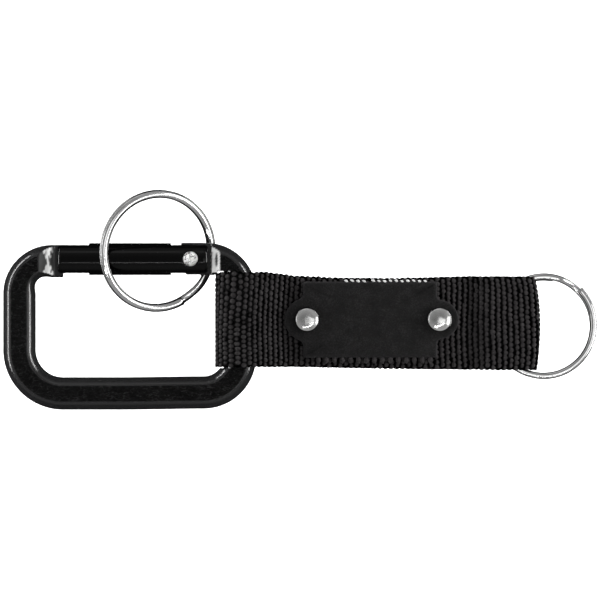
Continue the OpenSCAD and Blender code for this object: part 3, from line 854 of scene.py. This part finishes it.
def stretch(name, first, last):
    """The yarns from one station to another as one closed mesh."""
    points, faces = [], []
    start = 0
    for tube in TUBES:
        part = tube[first:last + 1]
        rows, m = part.shape[:2]
        points.append(part.reshape(-1, 3))
        faces += grid_faces(rows, m, True, start)
        faces.append(tuple(start + k for k in reversed(range(m))))
        faces.append(tuple(start + (rows - 1) * m + k for k in range(m)))
        start += rows * m
    ob = mesh_object(name, np.concatenate(points), faces, YARN, 60)
    # the painted shade level of every yarn point
    add_attribute(ob, "crest", PAINTED_SHADE_LEVELS[:, first:last + 1])
    return ob


def core(name, first, last):
    """The weft: a flat ribbon inside the yarns that blocks the light; its near-black colour is painted shade for the
    gaps between them.
    """
    q = LINE[first:last + 1]
    t = np.gradient(q, axis=0)
    t /= np.linalg.norm(t, axis=1, keepdims=True)
    n = np.stack([t[:, 1], -t[:, 0]], -1)
    rings = []
    for (u, w), (nu, nw) in zip(q, n):
        ring = []
        for y, h in ((-12.45, 0.16), (12.45, 0.16), (12.45, -0.16), (-12.45, -0.16)):
            uu, yy, ww = shape_strap(np.array(u + nu * h), np.array(float(y)), np.array(w + nw * h))
            ring.append(strap_point(uu, yy, ww))
        rings.append(ring)
    return loft(name, np.array(rings)[::-1], CORE, 60)


def station_at(test, from_, to):
    """The first station in a range whose u-w point passes a test."""
    for k in range(from_, to):
        if test(LINE[k]):
            return k
    return to - 1


COUNT = len(LINE)
BAR_K = int(np.argmin(LINE[:, 0]))
END_K = int(np.argmax(LINE[:, 0]))
LOW_K = station_at(lambda p: p[0] > 4, BAR_K, COUNT)
BEND_K = station_at(lambda p: p[0] > 50, BAR_K, COUNT)
TOP_K = station_at(lambda p: p[0] < 50, END_K, COUNT)

for label, first, last, bends in (
    ("loop", 0, LOW_K, False), ("back", LOW_K, BEND_K, False), ("tail_under", BEND_K, END_K, True),
    ("tail_over", END_K, TOP_K, True), ("front", TOP_K, COUNT - 1, False),
):
    for ob in (stretch("webbing_" + label, first, last), core("weft_" + label, first, last)):
        if bends:
            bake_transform(ob)
        else:
            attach(ob, "strap")
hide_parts("webbing_main")
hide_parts("webbing_tail")


# ---------------------------------------------------------------- leather patch


def patch_outline(step=0.35):
    """A plaque with a lobe at each rivet and small concave fillets, by a smooth union of distances."""
    cu = (RIVET_U[0] + RIVET_U[1]) / 2 - 0.9
    hx, hy = 19.15, 10.85

    def distance(u, y):
        dx, dy = np.abs(u - cu) - hx + 0.5, np.abs(y) - hy + 0.5
        box = np.hypot(np.maximum(dx, 0), np.maximum(dy, 0)) + np.minimum(np.maximum(dx, dy), 0) - 0.5
        d = box
        for c, r in ((RIVET_U[0] - 0.15, 6.2), (RIVET_U[1] - 0.1, 5.6)):
            lobe = np.hypot(u - c, y) - r
            k = 1.6
            h = np.clip(0.5 + 0.5 * (lobe - d) / k, 0, 1)
            d = lobe * (1 - h) + d * h - k * h * (1 - h)
        return d

    out = []
    for t in np.linspace(0, 2 * math.pi, 360, endpoint=False):
        c, s = math.cos(t), math.sin(t)
        lo, hi = 0.0, 40.0
        for _ in range(40):
            mid = (lo + hi) / 2
            if distance(cu + mid * c, mid * s) < 0:
                lo = mid
            else:
                hi = mid
        out.append((cu + lo * c, lo * s))
    return np.array(out)


def build_patch():
    line = patch_outline()
    # even spacing
    closed = np.concatenate([line, line[:1]])
    d = np.concatenate([[0], np.cumsum(np.hypot(*np.diff(closed, axis=0).T))])
    n = 420
    s = np.linspace(0, d[-1], n, endpoint=False)
    line = np.stack([np.interp(s, d, closed[:, 0]), np.interp(s, d, closed[:, 1])], -1)
    t = np.roll(line, -1, 0) - np.roll(line, 1, 0)
    t /= np.linalg.norm(t, axis=1, keepdims=True)
    inward = np.stack([-t[:, 1], t[:, 0]], -1)
    base, top = WEB_T + 0.10, WEB_T + PATCH_T
    steps = [(0.10, base), (0.0, base + 0.2), (0.0, top - 0.45), (0.07, top - 0.2),
             (0.22, top - 0.06), (0.5, top - 0.005), (1.1, top)]
    points, edge = [], []
    for k, (inset, w) in enumerate(steps):
        q = line + inward * inset
        points.append(np.stack([q[:, 0], q[:, 1], np.full(n, w)], -1))
        # the painted highlight's weight on each row: full on the cut edge's walls, fading across the top's rim
        edge.append(np.full(n, (0.5, 1, 1, 1, 0.8, 0.15, 0)[k]))
    centre = np.array([(RIVET_U[0] + RIVET_U[1]) / 2 - 0.9, 0.0])
    rim = points[-1][:, :2]
    for k in np.linspace(0.94, 0.04, 24):
        q = centre + (rim - centre) * k
        points.append(np.stack([q[:, 0], q[:, 1], np.full(n, top)], -1))
        edge.append(np.zeros(n))
    rows = len(points)
    points = np.concatenate(points + [np.array([[*centre, top]])])
    edge.append(np.zeros(1))
    faces = grid_faces(rows, n)
    faces += [((rows - 1) * n + k, (rows - 1) * n + (k + 1) % n, rows * n) for k in range(n)]
    faces.append(tuple(reversed(range(n))))
    u, y, w = points.T
    near = np.min([np.hypot(u - c, y) for c in RIVET_U], axis=0)
    press = 0.22 * np.exp(-(((near - 3.4) / 1.3) ** 2))
    sag = 0.07 * np.sin(u / 5.2 + 0.8) * np.cos(y / 4.1) + 0.05 * np.sin(u / 2.9 - y / 3.7)
    world = strap_point(u, PATCH_Y + y, np.where(w > top - 0.3, w - press + sag * 0.6, w))
    ob = mesh_object("patch_hide_piece", world, faces, HIDE, 50)
    add_attribute(ob, "edge", np.concatenate(edge))
    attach(ob, "strap")
    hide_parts("leather_patch")


build_patch()


# ---------------------------------------------------------------- rivets


def build_rivets():
    for side, u0 in zip(("left", "right"), RIVET_U):
        top = WEB_T + PATCH_T
        cap = [(3.1, top - 0.10), (3.40, top - 0.06), (3.5, top + 0.12), (3.5, top + 0.42)]
        cap += [(3.44, top + 0.66), (3.32, top + 0.84)]
        cap += [(3.18 * r, top + 0.95 + 0.55 * (1 - r**2.6)) for r in np.linspace(1, 0.06, 22)]
        cap += [(0, top + 1.5)]
        dents = rng.normal(0, 1, 4)

        def place(p, s=1, c=u0, k=dents):
            q = p.copy()
            broad = 0.03 * np.sin(1.0 * q[:, 0] + k[0]) * np.cos(0.8 * q[:, 1] + k[1])
            lump = broad + 0.012 * np.sin(1.9 * q[:, 1] + k[2])
            q[:, 2] += np.where(np.hypot(q[:, 0], q[:, 1]) < 3.2, lump, 0)
            return strap_point(c + q[:, 0], PATCH_Y + s * q[:, 1], s * q[:, 2])

        ob = lathe(side + "_cap_front", [(0, top - 0.1)] + cap, CAP, 96, 40, place)
        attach(ob, "strap")
        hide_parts(side + "_rivet_cap", side + "_rivet_post")
        base = [(0, WEB_T - 0.2), (3.1, WEB_T - 0.2), (3.42, WEB_T - 0.1), (3.5, WEB_T + 0.08), (3.46, WEB_T + 0.2)]
        dome = [math.radians(a) for a in range(6, 90, 6)]
        base += [(3.42 * math.cos(a), WEB_T + 0.22 + 0.75 * math.sin(a)) for a in dome]
        base += [(0, WEB_T + 0.97)]
        ob = lathe(side + "_cap_back", base, CAP, 96, 40, lambda p, c=u0: place(p, -1, c))
        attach(ob, "strap")
        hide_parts(side + "_rivet_base", side + "_rivet_socket")


build_rivets()


# ---------------------------------------------------------------- threads


def thread(name, runs, mat):
    """Short rounded threads: each run is a list of strap-frame points and a radius."""
    points, faces = [], []
    for line_, radius in runs:
        line_ = np.array(line_, float)
        t = np.gradient(line_, axis=0)
        t /= np.linalg.norm(t, axis=1, keepdims=True)
        side = np.cross(t, [0, 0, 1.0])
        side /= np.maximum(np.linalg.norm(side, axis=1, keepdims=True), 1e-6)
        over = np.cross(side, t)
        m, start, rows = 8, len(points), len(line_)
        for k in range(rows):
            f = k / (rows - 1)
            r = radius * math.sqrt(max(1 - (2 * f - 1) ** 8, 0.05))
            for a in np.linspace(0, 2 * math.pi, m, endpoint=False):
                points.append(line_[k] + r * (math.cos(a) * side[k] + math.sin(a) * over[k]))
        faces += grid_faces(rows, m, True, start)
        faces.append(tuple(start + k for k in reversed(range(m))))
        faces.append(tuple(start + (rows - 1) * m + k for k in range(m)))
    p = np.array(points)
    ob = mesh_object(name, strap_point(p[:, 0], p[:, 1], p[:, 2]), faces, mat, 60)
    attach(ob, "strap")
    return ob


def strap_u(px):
    return ((px - VIEW_CENTRE_PX) / PIXELS_PER_MM - STRAP_X) / math.cos(FALL) - 0.1


def build_threads():
    gap_light_runs, dark, loops = [], [], []
    # painted light: short pale pills along the patch's upper edge stand for the bright floor seen through gaps in the
    # selvedge
    for i, px in enumerate(list(np.arange(346.0, 366, 6.0)) + list(np.arange(373, 430, 5.8))):
        u = strap_u(px)
        y = 11.78 + 0.10 * math.sin(1.9 * i)
        size = (0.34, 0.30, 0.36, 0.28)[i % 4]
        k = 1.0 if i < 5 else 0.8
        run = [(u - 0.55 * k, y + 0.22, 2.35), (u - 0.2 * k, y + 0.1, 2.62)]
        run += [(u + 0.2 * k, y - 0.08, 2.62), (u + 0.55 * k, y - 0.25, 2.3)]
        gap_light_runs.append((run, size))
    for i, px in enumerate(np.arange(318, 434, 8.0)):
        u = strap_u(px)
        y = -10.9
        lean = 0.25 * math.sin(2.3 * i)
        run = [(u - 0.2 + lean, y + 0.95, 1.75), (u, y + 0.5, 2.2)]
        run += [(u + 0.1, y - 0.2, 2.25), (u + 0.2 - lean, y - 0.9, 1.9)]
        loops.append((run, 0.72))
    u = strap_u(431.5)
    dark.append(([(u - 0.6, -12.3, 1.6), (u - 0.3, -12.9, 1.5), (u + 0.1, -13.4, 1.3), (u + 0.5, -14.0, 1.1)], 0.17))
    dark.append(([(u - 1.4, -12.5, 1.5), (u - 0.9, -12.9, 1.4), (u - 0.5, -13.1, 1.3)], 0.15))
    thread("gap_light_dashes", gap_light_runs, GAP_LIGHT)
    ob = thread("stitch_black", loops, YARN)
    add_attribute(ob, "crest", np.ones(len(ob.data.vertices)))
    ob = thread("thread_loose", dark, YARN)
    add_attribute(ob, "crest", np.full(len(ob.data.vertices), 0.2))


build_threads()


# ---------------------------------------------------------------- table, light and camera

def table_top(new, link, out):
    co = new("ShaderNodeTexCoord").outputs["Object"]
    tone = ramp(new, link, noise(new, link, co, 40, 2), [(0.3, (0.90, 0.90, 0.90)), (0.7, (0.92, 0.92, 0.92))])
    glow = new("ShaderNodeEmission", Strength=1.15)
    diffuse = new("ShaderNodeBsdfDiffuse")
    link(tone, diffuse.inputs["Color"])
    add = new("ShaderNodeAddShader")
    link(glow.outputs[0], add.inputs[0])
    link(diffuse.outputs[0], add.inputs[1])
    link(add.outputs[0], out.inputs["Surface"])


corners = [(x * FLOOR_HALF, y * FLOOR_HALF, FLOOR_Z) for x, y in ((-1, -1), (1, -1), (1, 1), (-1, 1))]
table = mesh_object("table", corners, [(0, 1, 2, 3)], material("table_top", table_top), 0)
table.visible_glossy = False  # its glow would wash out the black edges


def softbox(name, x, y, z, size, power, target=(0, 0, 0)):
    light = bpy.data.lights.new(name, "AREA")
    light.shape = "RECTANGLE"
    light.size, light.size_y = size
    light.energy = power
    ob = bpy.data.objects.new(name, light)
    bpy.context.scene.collection.objects.link(ob)
    ob.location = (x, y, z)
    ob.rotation_euler = (Vector(target) - Vector((x, y, z))).to_track_quat("-Z", "Y").to_euler()
    return ob


softbox("left_strip", -0.55, 0.16, 0.085, (0.85, 0.05), 3.4)
softbox("right_strip", 0.55, 0.10, 0.085, (0.65, 0.05), 2.6)
softbox("left_box", -0.55, 0.10, 0.22, (0.45, 0.10), 0.14)
softbox("left_high", -0.46, 0.02, 0.46, (0.34, 0.14), 0.16)
softbox("right_box", 0.50, -0.05, 0.46, (0.34, 0.12), 0.42)
softbox("front_line", 0.085, -0.24, 0.62, (0.43, 0.016), 0.26)
softbox("rear_band", -0.05, 0.50, 0.38, (0.40, 0.16), 0.10)
softbox("top_box", 0.20, -0.05, 0.62, (0.19, 0.26), 0.13)
softbox("fill", 0.0, 0.0, 1.6, (1.2, 1.2), 2.0).visible_glossy = False

world = bpy.data.worlds.new("studio")
bpy.context.scene.world = world
world.use_nodes = True
tree = world.node_tree
sky = tree.nodes.new("ShaderNodeTexCoord")
split = tree.nodes.new("ShaderNodeSeparateXYZ")
tree.links.new(sky.outputs["Generated"], split.inputs[0])
shade = tree.nodes.new("ShaderNodeValToRGB")
sky_stops = ((0.0, 0.0), (0.50, 0.02), (0.56, 0.24), (0.80, 0.36), (0.92, 0.26), (1.0, 0.16))
while len(shade.color_ramp.elements) < len(sky_stops):
    shade.color_ramp.elements.new(0.5)
for element, (position, value) in zip(shade.color_ramp.elements, sky_stops):
    element.position = position
    element.color = (value, value, value, 1)
remap = tree.nodes.new("ShaderNodeMath")
remap.operation = "MULTIPLY_ADD"
remap.inputs[1].default_value = 0.5
remap.inputs[2].default_value = 0.5
tree.links.new(split.outputs["Z"], remap.inputs[0])
tree.links.new(remap.outputs[0], shade.inputs["Fac"])
tree.links.new(shade.outputs["Color"], tree.nodes["Background"].inputs["Color"])
tree.nodes["Background"].inputs["Strength"].default_value = 1.0

camera_data = bpy.data.cameras.new("camera")
camera_data.lens = 250
camera_data.sensor_width = 36
camera = bpy.data.objects.new("camera", camera_data)
bpy.context.scene.collection.objects.link(camera)
height = 0.6 / PIXELS_PER_MM * camera_data.lens / camera_data.sensor_width
camera.location = (-0.7 / 3500, -0.15 / 3500, height + 0.008)
camera.rotation_euler = (0, 0, 0)
camera_data.clip_end = 20
bpy.context.scene.camera = camera
bpy.context.scene.view_settings.view_transform = "Standard"
bpy.context.scene.view_settings.look = "None"
